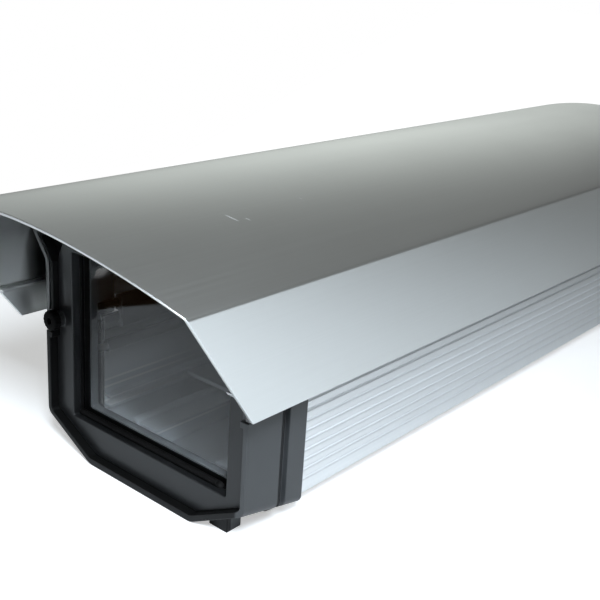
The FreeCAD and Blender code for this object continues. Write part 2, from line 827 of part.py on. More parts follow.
def rear_lip_seal():
    """Rubber strip in the groove of the rear plate, under the cover skin."""
    groove_y = (rear_plate_front + lip_groove, rear_plate_front + 2 * lip_groove)
    strip = prism(rear_plug_outline(0.15), *groove_y).cut(prism(rear_plug_outline(2.2), *groove_y))
    return strip.cut(box(-beyond, beyond, groove_y[0] - 1, groove_y[1] + 1, gland_z, closing_z + 6.5))


def rear_gasket():
    outer = prism(tray_outline(-0.3, tongue_low - 1.6), tray_rear, rear_plate_front)
    inner = prism(tray_outline(-tray_wall + 0.2, shoulder_z), tray_rear - 1, rear_plate_front + 1)
    ring = outer.cut(inner)
    for x, z in cap_screw_spots():
        ring = ring.cut(rod_y(x, z, screw3 + hole_fit, tray_rear - 1, rear_plate_front + 1))
    return ring


def rear_cap_screws():
    seat = rear_plate_rear - head3_high - hole_fit
    made = [pan_screw_y(x, z, screw3, head3, head3_high, seat, tray_rear - 10.0, 1)
            for x, z in cap_screw_spots()]
    return Part.makeCompound(made)


def gland_body(x):
    """Hexagon flange, inner and outer threads and the cable bore."""
    front = rear_plate_front - locknut_thick - 1.0
    flange = hexagon_y(x, gland_z, gland_flats, rear_plate_rear, rear_plate_rear + gland_flange)
    body = flange.fuse(rod_y(x, gland_z, gland_thread, front, rear_plate_rear + gland_flange + gland_neck))
    return body.cut(rod_y(x, gland_z, gland_bore, front - 1, rear_plate_rear + 40))


def gland_nut(x):
    """Dome nut over the outer thread, with a rounded nose."""
    y0 = rear_plate_rear + gland_flange + gland_nut_gap
    y1 = y0 + gland_nut_long
    grip = hexagon_y(x, gland_z, gland_flats, y0, y1)
    radius = gland_flats / math.sqrt(3.0)
    turned = Part.makePolygon([
        V(0, y0, 0),
        V(radius - 0.6, y0, 0),
        V(radius, y0 + 0.6, 0),
        V(radius, y1 - 5.0, 0),
        V(radius - 3.6, y1, 0),
        V(0, y1, 0),
        V(0, y0, 0),
    ])
    dome = Part.Face(turned).revolve(V(0, 0, 0), V(0, 1, 0), 360)
    dome.translate(V(x, 0, gland_z))
    nut = grip.common(dome)
    nut = nut.cut(rod_y(x, gland_z, gland_thread + run_fit, y0 - 1, y0 + gland_neck + 1.2))
    return nut.cut(rod_y(x, gland_z, 5.6, y0 - 1, y1 + 1))


def gland_seal(x):
    """Rubber sleeve between the gland body and the nut nose."""
    y0 = rear_plate_rear + gland_flange + gland_neck
    return ring_y(x, gland_z, 7.4, cord_bore, y0, y0 + 1.2).fuse(
        ring_y(x, gland_z, gland_bore - 0.1, cord_bore, y0 - 7.0, y0))


def gland_locknut(x):
    nut = hexagon_y(x, gland_z, gland_flats, rear_plate_front - locknut_thick, rear_plate_front)
    return nut.cut(rod_y(x, gland_z, gland_thread + run_fit, rear_skirt, rear_plate_rear))


def main():
    os.makedirs("parts", exist_ok=True)
    save("housing_tray", housing_tray())
    save("housing_cover", housing_cover())
    save("cover_seals", cover_seals())
    save("sunshield", sunshield())
    save("shield_spacers", shield_spacers())
    save("shield_screws", shield_screws())
    save("shield_nuts", shield_nuts())
    save("front_cap", front_cap())
    save("window_bezel", window_bezel())
    save("window_glass", window_glass())
    save("glass_gasket_front", glass_gasket_front())
    save("glass_gasket_rear", glass_gasket_rear())
    save("front_cap_screws", front_cap_screws())
    save("front_gasket", front_gasket())
    save("closing_screw", closing_screw())
    save("camera_sled", camera_sled())
    save("camera_screw", camera_screw())
    save("camera_screw_washer", camera_screw_washer())
    save("rear_cap", rear_cap())
    save("rear_lip_seal", rear_lip_seal())
    save("rear_gasket", rear_gasket())
    save("rear_cap_screws", rear_cap_screws())
    save("gland_bodies", Part.makeCompound([gland_body(x) for x in gland_xs.values()]))
    save("gland_seals", Part.makeCompound([gland_seal(x) for x in gland_xs.values()]))
    save("gland_locknuts", Part.makeCompound([gland_locknut(x) for x in gland_xs.values()]))
    for name, x in gland_xs.items():
        save("gland_nut_%s" % name, gland_nut(x))


main()
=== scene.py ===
import math

import bmesh
import bpy
import numpy as np
from mathutils import Matrix, Vector


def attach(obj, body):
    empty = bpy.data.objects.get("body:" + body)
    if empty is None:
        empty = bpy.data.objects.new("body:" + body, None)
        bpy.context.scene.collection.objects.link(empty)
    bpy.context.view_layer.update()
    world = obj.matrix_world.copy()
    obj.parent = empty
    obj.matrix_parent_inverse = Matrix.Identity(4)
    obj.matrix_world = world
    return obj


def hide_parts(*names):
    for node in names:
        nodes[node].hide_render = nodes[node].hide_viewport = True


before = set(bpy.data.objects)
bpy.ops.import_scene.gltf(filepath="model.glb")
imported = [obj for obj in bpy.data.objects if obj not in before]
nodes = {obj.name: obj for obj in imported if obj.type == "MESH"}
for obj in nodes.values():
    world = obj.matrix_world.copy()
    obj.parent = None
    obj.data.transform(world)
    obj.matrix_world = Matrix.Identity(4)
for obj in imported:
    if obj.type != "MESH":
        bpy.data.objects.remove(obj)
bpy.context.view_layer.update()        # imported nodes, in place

# Camera housing: black window cap, fluted aluminium tray, sliding cover, arched sunshield.
# Metres, Z up, Y from the window to the rear, origin at the middle of the underside screw holes.
# Sizes of pieces are in millimetres, with Y counted from the front rim of the cap.

mm = 0.001
rimY = -178.0                    # front rim of the cap from the origin


def addNode(tree, kind, **values):
    # one node, with its sockets and properties given by name
    node = tree.nodes.new(kind)
    for name, value in values.items():
        if hasattr(node, name):
            setattr(node, name, value)
        else:
            node.inputs[name].default_value = value
    return node


def link(tree, source, target):
    tree.links.new(source, target)


def newGroup(name, inputs, outputs):
    # a node group with named sockets: inputs are (name, kind, default)
    group = bpy.data.node_groups.new(name, "ShaderNodeTree")
    for label, kind, value in inputs:
        socket = group.interface.new_socket(name=label, in_out="INPUT", socket_type=kind)
        if value is not None:
            socket.default_value = value
    for label, kind in outputs:
        group.interface.new_socket(name=label, in_out="OUTPUT", socket_type=kind)
    return group, group.nodes.new("NodeGroupInput"), group.nodes.new("NodeGroupOutput")


def placeGroup(tree, group, **values):
    # the group as a node of this tree, with its own values
    node = tree.nodes.new("ShaderNodeGroup")
    node.node_tree = group
    for name, value in values.items():
        node.inputs[name].default_value = value
    return node


def mathNode(tree, operation, first, second=None, clamp=False):
    # arithmetic on numbers or sockets
    node = tree.nodes.new("ShaderNodeMath")
    node.operation = operation
    node.use_clamp = clamp
    for place, value in enumerate((first, second)):
        if isinstance(value, (int, float)):
            node.inputs[place].default_value = value
        elif value is not None:
            tree.links.new(value, node.inputs[place])
    return node.outputs[0]


def rangeNode(tree, value, low, high, toLow, toHigh, smooth=False):
    # value between low and high spread over toLow to toHigh
    node = tree.nodes.new("ShaderNodeMapRange")
    node.interpolation_type = "SMOOTHSTEP" if smooth else "LINEAR"
    tree.links.new(value, node.inputs["Value"])
    for name, number in (("From Min", low), ("From Max", high), ("To Min", toLow), ("To Max", toHigh)):
        node.inputs[name].default_value = number
    return node.outputs["Result"]


def mixColours(tree, mask, first, second):
    # first where the mask is 0, second where it is 1
    node = tree.nodes.new("ShaderNodeMix")
    node.data_type = "RGBA"
    tree.links.new(mask, node.inputs["Factor"])
    for name, value in (("A", first), ("B", second)):
        socket = [s for s in node.inputs if s.name == name and s.type == "RGBA"][0]
        if hasattr(value, "node"):
            tree.links.new(value, socket)
        else:
            socket.default_value = value
    return [s for s in node.outputs if s.type == "RGBA"][0]


def product(tree, *values):
    # numbers or sockets multiplied together
    total = values[0]
    for value in values[1:]:
        total = mathNode(tree, "MULTIPLY", total, value)
    return total


def between(tree, value, span, fadeIn, fadeOut):
    # 1 from the low to the high end of span, with a short fade inside each end
    low, high = span
    return product(tree, rangeNode(tree, value, low, low + fadeIn, 0.0, 1.0),
                   rangeNode(tree, value, high - fadeOut, high, 1.0, 0.0))


def objectPlace(tree):
    return addNode(tree, "ShaderNodeTexCoord").outputs["Object"]


def splitAxes(tree, vector):
    # X, Y and Z of a vector
    parts = addNode(tree, "ShaderNodeSeparateXYZ")
    link(tree, vector, parts.inputs[0])
    return parts.outputs["X"], parts.outputs["Y"], parts.outputs["Z"]


def objectAxes(tree):
    return splitAxes(tree, objectPlace(tree))


def trueNormal(tree):
    return addNode(tree, "ShaderNodeNewGeometry").outputs["Normal"]


def noiseNode(tree, place, scale, detail, rough):
    node = addNode(tree, "ShaderNodeTexNoise", Scale=scale, Detail=detail, Roughness=rough)
    link(tree, place, node.inputs["Vector"])
    return node


def grey(level, warm=0.0):
    # a grey, redder for warm above 0 and bluer below
    return (level * (1 + warm), level, level * (1 - warm), 1.0)


lineNoise = {"across": 900.0, "along": 6.0, "detail": 3.0, "rough": 0.6,
             "cloudScale": 14.0, "cloudDetail": 4.0, "cloudRough": 0.55}


def buildDrawnLines():
    # long fine lines along Y, left by the die: noise squeezed across and stretched along
    group, start, end = newGroup("drawnLines", [
        ("Across", "NodeSocketFloat", lineNoise["across"]), ("Along", "NodeSocketFloat", lineNoise["along"])],
        [("Lines", "NodeSocketFloat"), ("Cloud", "NodeSocketFloat")])
    joined = addNode(group, "ShaderNodeCombineXYZ")
    for axis, value, source in zip("XYZ", objectAxes(group), ("Across", "Along", "Across")):
        link(group, product(group, value, start.outputs[source]), joined.inputs[axis])
    noise = noiseNode(group, joined.outputs[0], 1.0, lineNoise["detail"], lineNoise["rough"])
    cloud = noiseNode(group, objectPlace(group), *(lineNoise[k] for k in ("cloudScale", "cloudDetail", "cloudRough")))
    link(group, noise.outputs["Fac"], end.inputs["Lines"])
    link(group, cloud.outputs["Fac"], end.inputs["Cloud"])
    return group


grainNoise = {"scale": 1500.0, "detail": 2.0, "rough": 0.65, "slowScale": 45.0, "slowDetail": 5.0, "slowRough": 0.6}


def buildMouldGrain():
    # fine spark-eroded grain of a moulded part, and a slower mottle
    group, start, end = newGroup("mouldGrain", [("Scale", "NodeSocketFloat", grainNoise["scale"])],
                                 [("Grain", "NodeSocketFloat"), ("Mottle", "NodeSocketFloat")])
    place = objectPlace(group)
    fine = noiseNode(group, place, *(grainNoise[k] for k in ("scale", "detail", "rough")))
    link(group, start.outputs["Scale"], fine.inputs["Scale"])
    slow = noiseNode(group, place, *(grainNoise[k] for k in ("slowScale", "slowDetail", "slowRough")))
    link(group, fine.outputs["Fac"], end.inputs["Grain"])
    link(group, slow.outputs["Fac"], end.inputs["Mottle"])
    return group


rubbing = {"radius": 0.0006, "broken": 0.5, "samples": 4, "flat": 0.995, "sharp": 0.8,
           "scale": 160.0, "detail": 4.0, "rough": 0.7}


def buildEdgeRub():
    # 1 on edges: how far a rounded normal leaves the true one, broken up by noise
    group, start, end = newGroup("edgeRub", [
        ("Radius", "NodeSocketFloat", rubbing["radius"]), ("Broken", "NodeSocketFloat", rubbing["broken"])],
        [("Edge", "NodeSocketFloat"), ("Round", "NodeSocketVector")])
    bevel = addNode(group, "ShaderNodeBevel", samples=rubbing["samples"])
    link(group, start.outputs["Radius"], bevel.inputs["Radius"])
    dot = addNode(group, "ShaderNodeVectorMath", operation="DOT_PRODUCT")
    link(group, bevel.outputs["Normal"], dot.inputs[0])
    link(group, trueNormal(group), dot.inputs[1])
    sharp = rangeNode(group, dot.outputs["Value"], rubbing["flat"], rubbing["sharp"], 0.0, 1.0)
    noise = noiseNode(group, objectPlace(group), *(rubbing[k] for k in ("scale", "detail", "rough")))
    broken = mathNode(group, "SUBTRACT", 1.0, product(group, noise.outputs["Fac"], start.outputs["Broken"]))
    link(group, mathNode(group, "MULTIPLY", sharp, broken, True), end.inputs["Edge"])
    link(group, bevel.outputs["Normal"], end.inputs["Round"])
    return group


dusting = {"amount": 0.3, "scale": 60.0, "detail": 6.0, "rough": 0.7, "film": (0.45, 0.8), "filmShare": 0.35,
           "speckScale": 320.0, "speck": (0.05, 0.13), "facing": (-0.2, 1.0), "under": 0.25}


def buildSettledDust():
    # pale specks and a thin film, thicker on faces that look up
    group, start, end = newGroup("settledDust", [("Amount", "NodeSocketFloat", dusting["amount"])],
                                 [("Dust", "NodeSocketFloat")])
    place = objectPlace(group)
    film = noiseNode(group, place, *(dusting[k] for k in ("scale", "detail", "rough")))
    specks = addNode(group, "ShaderNodeTexVoronoi", Scale=dusting["speckScale"])
    link(group, place, specks.inputs["Vector"])
    dots = rangeNode(group, specks.outputs["Distance"], *dusting["speck"], 1.0, 0.0)
    thin = rangeNode(group, film.outputs["Fac"], *dusting["film"], 0.0, 1.0)
    up = rangeNode(group, splitAxes(group, trueNormal(group))[2], *dusting["facing"], dusting["under"], 1.0)
    both = mathNode(group, "ADD", product(group, dots, thin), product(group, thin, dusting["filmShare"]))
    link(group, mathNode(group, "MULTIPLY", product(group, both, up), start.outputs["Amount"], True),
         end.inputs["Dust"])
    return group


# scratches on the roof, in mm: x and y of the middle, length, turn in degrees from Y, half width
scratches = [(33.8, 10.4, 5.6, 71.0, 0.26), (36.4, 15.5, 2.2, 71.0, 0.16), (31.8, 47.5, 1.6, 71.0, 0.18)]
scratchFade = {"core": 0.4, "full": 0.3, "end": 0.5, "roof": (0.099, 0.101)}


def buildScratches():
    # 1 along a few short lines: near the line across it, and within its length along it
    group, start, end = newGroup("scratches", [], [("Scratch", "NodeSocketFloat")])
    x, y, z = objectAxes(group)
    total = 0.0
    for midX, midY, length, turn, half in scratches:
        c, s = math.cos(math.radians(turn)), math.sin(math.radians(turn))
        dx = mathNode(group, "SUBTRACT", x, midX * mm)
        dy = mathNode(group, "SUBTRACT", y, (midY + rimY) * mm)
        along = mathNode(group, "ADD", product(group, dx, s), product(group, dy, c))
        across = mathNode(group, "SUBTRACT", product(group, dx, c), product(group, dy, s))
        near = rangeNode(group, mathNode(group, "ABSOLUTE", across), half * scratchFade["core"] * mm,
                         half * mm, 1.0, 0.0)
        within = rangeNode(group, mathNode(group, "ABSOLUTE", along), length * scratchFade["full"] * mm,
                           length * scratchFade["end"] * mm, 1.0, 0.0)
        total = mathNode(group, "MAXIMUM", total, product(group, near, within))
    roof = rangeNode(group, z, *scratchFade["roof"], 0.0, 1.0)
    link(group, product(group, total, roof), end.inputs["Scratch"])
    return group


drawnLines = buildDrawnLines()
mouldGrain = buildMouldGrain()
edgeRub = buildEdgeRub()
settledDust = buildSettledDust()
roofScratches = buildScratches()
print("shader groups ready")


def freshMaterial(name):
    material = bpy.data.materials.new(name)
    material.use_nodes = True
    tree = material.node_tree
    return material, tree, tree.nodes["Principled BSDF"]


def addMix(tree, mask, first, second):
    # the surface is the first shader where the mask is 0, the second where it is 1
    mix = addNode(tree, "ShaderNodeMixShader")
    for place, source in enumerate((mask, first.outputs[0], second.outputs[0])):
        link(tree, source, mix.inputs[place])
    link(tree, mix.outputs[0], tree.nodes["Material Output"].inputs["Surface"])


def addBump(tree, shader, height, rounded, strength, deep):
    # fine relief on top of the rounded edges
    bump = addNode(tree, "ShaderNodeBump", Strength=strength, Distance=deep)
    link(tree, height, bump.inputs["Height"])
    link(tree, rounded, bump.inputs["Normal"])
    link(tree, bump.outputs["Normal"], shader.inputs["Normal"])


# the housing's aluminium, in metres: dull walls inside near the window with ribs along Y painted on as pale lines
# (painted highlight), painted shade on the upper part inside, matt notches of the flutes, and a darker front rim of
# the skin
inside = {"half": (0.0502, 0.0504), "front": (-0.168, -0.167), "low": (0.0022, 0.0026),
          "bright": (-0.142, -0.088), "high": (0.020, 0.048), "metallic": 0.15, "wallTone": grey(0.80, -0.03),
          "ribs": (0.0078, 0.0235), "ribPitch": 0.00325, "ribFirst": 0.009, "ribFade": 0.0005,
          "ribWave": (0.3, 0.9), "ribHighlightTone": grey(1.0),
          "upper": (0.022, 0.046), "upperHalf": (0.0509, 0.0512), "upperTop": (0.080, 0.0805),
          "upperShare": 0.9, "upperShadeTone": grey(0.03),
          "flutes": (0.0509, 0.05172), "fluteFades": (0.0001, 0.0003), "fluteTone": grey(0.84, -0.02),
          "rim": (-0.1768, -0.1762), "rimTone": grey(0.14)}


def housingMasks(tree):
    # masks for the dull walls, the painted highlight of their ribs, the painted shade of the upper part, the flutes
    # and the rim
    x, y, z = objectAxes(tree)
    side = mathNode(tree, "ABSOLUTE", x)
    dull = rangeNode(tree, side, *inside["half"], 1.0, 0.0)
    for value, span, first, last in ((y, "front", 0.0, 1.0), (z, "low", 0.0, 1.0),
                                     (y, "bright", 1.0, 0.0), (z, "high", 1.0, 0.0)):
        dull = product(tree, dull, rangeNode(tree, value, *inside[span], first, last, True))
    # ribs painted on as pale lines along Y: a painted highlight where ribs would catch the light
    turns = product(tree, mathNode(tree, "SUBTRACT", z, inside["ribFirst"]), 2 * math.pi / inside["ribPitch"])
    ribs = product(tree, rangeNode(tree, mathNode(tree, "COSINE", turns), *inside["ribWave"], 0.0, 1.0),
                   between(tree, z, inside["ribs"], inside["ribFade"], inside["ribFade"]))
    # painted shade on the walls inside, rising above the ribs and ending below the roof
    upper = product(tree, rangeNode(tree, z, *inside["upper"], 0.0, inside["upperShare"], True),
                    rangeNode(tree, z, *inside["upperTop"], 1.0, 0.0),
                    rangeNode(tree, side, *inside["upperHalf"], 1.0, 0.0))
    flutes = between(tree, side, inside["flutes"], *inside["fluteFades"])
    # the front millimetre of the housing made darker
    rim = rangeNode(tree, y, *inside["rim"], 1.0, 0.0)
    return dull, ribs, upper, flutes, rim


flapPaintedShade = {"inner": (-0.03, -0.02), "deep": (-0.188, -0.174), "foot": (0.058, 0.070), "footShare": 0.08,
              "upper": (0.066, 0.090), "upperShare": 0.65, "end": (-0.150, -0.110), "tone": grey(0.04)}


def flapShade(tree):
    # 1 on the inner sides of the flaps beside the window, where little light gets in, for painted shade there:
    # inner sides are those whose normal points to the middle, so that its X times x is below 0
    x, y, z = objectAxes(tree)
    sideways = splitAxes(tree, trueNormal(tree))[0]
    inner = rangeNode(tree, product(tree, sideways, x), *flapPaintedShade["inner"], 1.0, 0.0)
    deep = product(tree, rangeNode(tree, y, *flapPaintedShade["deep"], 0.0, 1.0, True),
                   rangeNode(tree, z, *flapPaintedShade["foot"], flapPaintedShade["footShare"], 1.0))
    upper = rangeNode(tree, z, *flapPaintedShade["upper"], 0.0, flapPaintedShade["upperShare"])
    return product(tree, mathNode(tree, "MAXIMUM", deep, upper), inner,
                   rangeNode(tree, y, *flapPaintedShade["end"], 1.0, 0.0))


anodised = {"across": 1400.0, "along": 5.0, "lineTone": 0.94, "lineRough": 0.10, "cloudRough": 0.08,
            "rubShare": 0.5, "rubBroken": 0.4, "rubTone": grey(0.88), "dust": 0.25, "dustTone": grey(0.62, 0.03),
            "scratchTone": grey(0.97), "scratchRough": 0.35, "bump": 0.12, "bumpDeep": 0.00004}


def anodisedMetal(name, colour, roughness, scratchedAndShaded=False, rubRadius=0.0005, housing=False):
    # drawn aluminium, satin anodised: lines along the profile, rubbed edges, a little dust
    material, tree, shader = freshMaterial(name)
    shader.inputs["Metallic"].default_value = 1.0
    lines = placeGroup(tree, drawnLines, Across=anodised["across"], Along=anodised["along"])
    rub = placeGroup(tree, edgeRub, Radius=rubRadius, Broken=anodised["rubBroken"])
    dust = placeGroup(tree, settledDust, Amount=anodised["dust"])
    dark = tuple(c * anodised["lineTone"] for c in colour[:3]) + (1.0,)
    tone = mixColours(tree, lines.outputs["Lines"], dark, colour)
    tone = mixColours(tree, product(tree, rub.outputs["Edge"], anodised["rubShare"]), tone, anodised["rubTone"])
    spread = mathNode(tree, "ADD", product(tree, lines.outputs["Lines"], anodised["lineRough"]),
                      product(tree, lines.outputs["Cloud"], anodised["cloudRough"]))
    mean = (anodised["lineRough"] + anodised["cloudRough"]) / 2
    level = mathNode(tree, "ADD", spread, roughness - mean)
    if scratchedAndShaded:
        mark = placeGroup(tree, roofScratches).outputs["Scratch"]
        tone = mixColours(tree, mark, tone, anodised["scratchTone"])
        # painted shade on the inner sides of the flaps, darkest deep inside and high up
        tone = mixColours(tree, flapShade(tree), tone, flapPaintedShade["tone"])
        level = mathNode(tree, "ADD", level, product(tree, mark, anodised["scratchRough"]), True)
    if housing:
        dull, ribs, upper, flutes, rim = housingMasks(tree)
        matt = mathNode(tree, "MAXIMUM", dull, flutes)
        link(tree, rangeNode(tree, matt, 0.0, 1.0, 1.0, inside["metallic"]), shader.inputs["Metallic"])
        # painted highlight of the ribs on the dull walls, then painted shade on the upper part inside
        walls = mixColours(tree, ribs, inside["wallTone"], inside["ribHighlightTone"])
        for mask, look in ((flutes, inside["fluteTone"]), (dull, walls), (upper, inside["upperShadeTone"]),
                           (rim, inside["rimTone"])):
            tone = mixColours(tree, mask, tone, look)
    link(tree, mixColours(tree, dust.outputs["Dust"], tone, anodised["dustTone"]), shader.inputs["Base Color"])
    link(tree, level, shader.inputs["Roughness"])
    addBump(tree, shader, lines.outputs["Lines"], rub.outputs["Round"], anodised["bump"], anodised["bumpDeep"])
    return material


# marks painted on the cap, in metres: blacker front lip with a weaker reflection but for the side that looks at the
# light, painted shade in the groove round the sides, and a painted highlight on the wall behind the pane
capMarks = {"lip": (-0.1715, -0.1711), "lipRight": (0.0505, 0.0515), "lipTone": grey(0.004), "sheen": grey(0.25),
            "groove": (-0.1600, -0.1553), "grooveFade": 0.0001, "grooveShare": 0.8,
            "wall": (-0.1665, -0.149), "wallFade": 0.0005, "wallHalf": (0.043, 0.0435), "wallTop": (0.044, 0.060),
            "wallTone": grey(0.12, -0.05)}


def capMasks(tree):
    # masks for the lip and the groove's painted shade together, and for the painted highlight on the wall behind the
    # pane
    x, y, z = objectAxes(tree)
    lip = product(tree, rangeNode(tree, y, *capMarks["lip"], 1.0, 0.0),
                  rangeNode(tree, x, *capMarks["lipRight"], 1.0, 0.0))
    # painted shade in the groove round the sides
    groove = product(tree, between(tree, y, capMarks["groove"], capMarks["grooveFade"], capMarks["grooveFade"]),
                     capMarks["grooveShare"])
    # painted highlight on the cap's inner wall behind the pane
    wall = product(tree, between(tree, y, capMarks["wall"], capMarks["wallFade"], capMarks["wallFade"]),
                   rangeNode(tree, mathNode(tree, "ABSOLUTE", x), *capMarks["wallHalf"], 1.0, 0.0),
                   rangeNode(tree, z, *capMarks["wallTop"], 1.0, 0.0))
    return mathNode(tree, "MAXIMUM", lip, groove), wall


moulded = {"darkShare": 0.8, "lightShare": 1.25, "rubShare": 0.5, "rubBroken": 0.7, "dustTone": grey(0.25, 0.02),
           "roughSpread": 0.16, "bump": 0.5, "bumpDeep": 0.00003}


def mouldedPlastic(name, level, warm, roughness, grain=grainNoise["scale"], rubAndHighlightLevel=0.10, rubRadius=0.0005,
                   dusty=0.12, shine=0.5, cap=False):
    # dark moulded part: fine grain, mottled sheen, edges rubbed a little lighter as wear and painted highlight, dust
    material, tree, shader = freshMaterial(name)
    shader.inputs["Specular IOR Level"].default_value = shine
    cells = placeGroup(tree, mouldGrain, Scale=grain)
    rub = placeGroup(tree, edgeRub, Radius=rubRadius, Broken=moulded["rubBroken"])
    dust = placeGroup(tree, settledDust, Amount=dusty)
    tone = mixColours(tree, cells.outputs["Mottle"], grey(level * moulded["darkShare"], warm),
                      grey(level * moulded["lightShare"], warm))
    # lighter edges: rubbed wear, and a painted highlight along them
    tone = mixColours(tree, product(tree, rub.outputs["Edge"], moulded["rubShare"]), tone, grey(rubAndHighlightLevel))
    tone = mixColours(tree, dust.outputs["Dust"], tone, moulded["dustTone"])
    if cap:
        lipAndGrooveShade, wall = capMasks(tree)
        # painted highlight on the wall behind the pane
        tone = mixColours(tree, wall, tone, capMarks["wallTone"])
        # blacker lip and painted shade in the groove, both with a weaker reflection
        tone = mixColours(tree, lipAndGrooveShade, tone, capMarks["lipTone"])
        link(tree, mixColours(tree, lipAndGrooveShade, grey(1.0), capMarks["sheen"]), shader.inputs["Specular Tint"])
    link(tree, tone, shader.inputs["Base Color"])
    spread = product(tree, cells.outputs["Mottle"], moulded["roughSpread"])
    link(tree, mathNode(tree, "ADD", spread, roughness - moulded["roughSpread"] / 2), shader.inputs["Roughness"])
    addBump(tree, shader, cells.outputs["Grain"], rub.outputs["Round"], moulded["bump"], moulded["bumpDeep"])
    return material


zinc = {"grain": 900.0, "rubRadius": 0.0002, "rubBroken": 0.5, "rubTone": grey(0.9), "darkShare": 0.8,
        "lightShare": 1.1, "warm": 0.02, "roughSpread": 0.2, "bump": 0.3, "bumpDeep": 0.00002}


def steelMetal(name, level, roughness):
    # zinc plated steel: small spangle, brighter rubbed edges
    material, tree, shader = freshMaterial(name)
    shader.inputs["Metallic"].default_value = 1.0
    cells = placeGroup(tree, mouldGrain, Scale=zinc["grain"])
    rub = placeGroup(tree, edgeRub, Radius=zinc["rubRadius"], Broken=zinc["rubBroken"])
    tone = mixColours(tree, cells.outputs["Mottle"], grey(level * zinc["darkShare"], -zinc["warm"]),
                      grey(level * zinc["lightShare"], zinc["warm"]))
    link(tree, mixColours(tree, rub.outputs["Edge"], tone, zinc["rubTone"]), shader.inputs["Base Color"])
    spread = product(tree, cells.outputs["Grain"], zinc["roughSpread"])
    link(tree, mathNode(tree, "ADD", spread, roughness - zinc["roughSpread"] / 2), shader.inputs["Roughness"])
    addBump(tree, shader, cells.outputs["Grain"], rub.outputs["Round"], zinc["bump"], zinc["bumpDeep"])
    return material


windowGlass = {"tint": (0.95, 0.96, 0.96, 1.0), "shadow": (0.93, 0.95, 0.96, 1.0), "ior": 1.31, "film": 0.04,
               "wipeStretch": (40.0, 1.0, 9.0), "wipeTurn": (0.0, 0.5, 0.0), "wipeScale": 3.0, "wipeDetail": 6.0,
               "wipeRough": 0.7, "wipes": (0.4, 0.75)}


def clearGlass(name):
    # flat clear pane that lets the lamp through, with a thin film of wiped dust
    material, tree, shader = freshMaterial(name)
    shader.inputs["Base Color"].default_value = windowGlass["tint"]
    shader.inputs["IOR"].default_value = windowGlass["ior"]
    shader.inputs["Transmission Weight"].default_value = 1.0
    stretched = addNode(tree, "ShaderNodeMapping", Scale=windowGlass["wipeStretch"], Rotation=windowGlass["wipeTurn"])
    link(tree, objectPlace(tree), stretched.inputs["Vector"])
    wipes = noiseNode(tree, stretched.outputs[0], *(windowGlass[k] for k in ("wipeScale", "wipeDetail", "wipeRough")))
    link(tree, rangeNode(tree, wipes.outputs["Fac"], *windowGlass["wipes"], 0.0, windowGlass["film"]),
         shader.inputs["Roughness"])
    through = addNode(tree, "ShaderNodeBsdfTransparent")
    through.inputs["Color"].default_value = windowGlass["shadow"]
    addMix(tree, addNode(tree, "ShaderNodeLightPath").outputs["Is Shadow Ray"], shader, through)
    return material


finishes = {
    "anodised_shield": anodisedMetal("anodisedShield", (0.755, 0.77, 0.76, 1.0), roughness=0.33, scratchedAndShaded=True),
    "anodised_body": anodisedMetal("anodisedBody", (0.85, 0.865, 0.872, 1.0), roughness=0.38, rubRadius=0.0007,
                                   housing=True),
    "sled_aluminium": anodisedMetal("sledAluminium", (0.70, 0.71, 0.72, 1.0), roughness=0.34),
    "cap_black": mouldedPlastic("capBlack", level=0.040, warm=-0.06, roughness=0.46, cap=True),
    "bezel_black": mouldedPlastic("bezelBlack", level=0.009, warm=-0.06, roughness=0.34, shine=0.42),
    "knob_black": mouldedPlastic("knobBlack", level=0.003, warm=0.0, roughness=0.55, rubAndHighlightLevel=0.006, dusty=0.0,
                                 shine=0.05),
    "nylon_black": mouldedPlastic("nylonBlack", level=0.014, warm=0.0, roughness=0.50, grain=1100.0),
    "rubber_seal": mouldedPlastic("rubberSeal", level=0.004, warm=0.02, roughness=0.62, grain=2200.0,
                                  rubAndHighlightLevel=0.01, rubRadius=0.0003, dusty=0.03, shine=0.1),
    "zinc_steel": steelMetal("zincSteel", level=0.66, roughness=0.32),
    "clear_glass": clearGlass("clearGlass"),
}
for name, node in nodes.items():
    for slot in node.material_slots:
        slot.material = finishes[slot.material.name.split(".")[0]]
print("materials on", len(nodes), "packed nodes")


# meshes: merged within this many metres, flat and rounded edges told by their turn in degrees
meshWork = {"merge": 1e-6, "flatTurn": 0.6, "edgeTurn": 35.0, "edgeSegments": 2, "flatWeight": 80}


def mergedWork(mesh):
    # the mesh opened for edits, its doubled points merged
    work = bmesh.new()
    work.from_mesh(mesh)
    bmesh.ops.remove_doubles(work, verts=work.verts, dist=meshWork["merge"])
    return work


def storeSmooth(mesh, work):
    # the edits back in the mesh, all faces smooth
    work.to_mesh(mesh)
    work.free()
    mesh.polygons.foreach_set("use_smooth", np.ones(len(mesh.polygons), bool))


def finishPiece(piece, body, replaced):
    # the piece in the scene, moving with its body, and the imported nodes it stands for hidden
    bpy.context.scene.collection.objects.link(piece)
    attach(piece, body)
    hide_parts(*replaced)


def addPiece(name, parts, finish, body, replaced, sharp):
    # parts are (points in mm, faces) of closed shells; normals outward, edges over sharp degrees kept sharp
    points = np.concatenate([np.asarray(p, float).reshape(-1, 3) for p, f in parts])
    starts = np.cumsum([0] + [len(np.reshape(p, (-1, 3))) for p, f in parts])
    faces = [[start + corner for corner in face] for start, (p, f) in zip(starts, parts) for face in f]
    mesh = bpy.data.meshes.new(name)
    mesh.from_pydata(((points + (0.0, rimY, 0.0)) * mm).tolist(), [], faces)
    work = mergedWork(mesh)
    bmesh.ops.recalc_face_normals(work, faces=work.faces)
    storeSmooth(mesh, work)
    mesh.set_sharp_from_angle(angle=math.radians(sharp))
    mesh.materials.append(finishes[finish])
    finishPiece(bpy.data.objects.new(name, mesh), body, replaced)


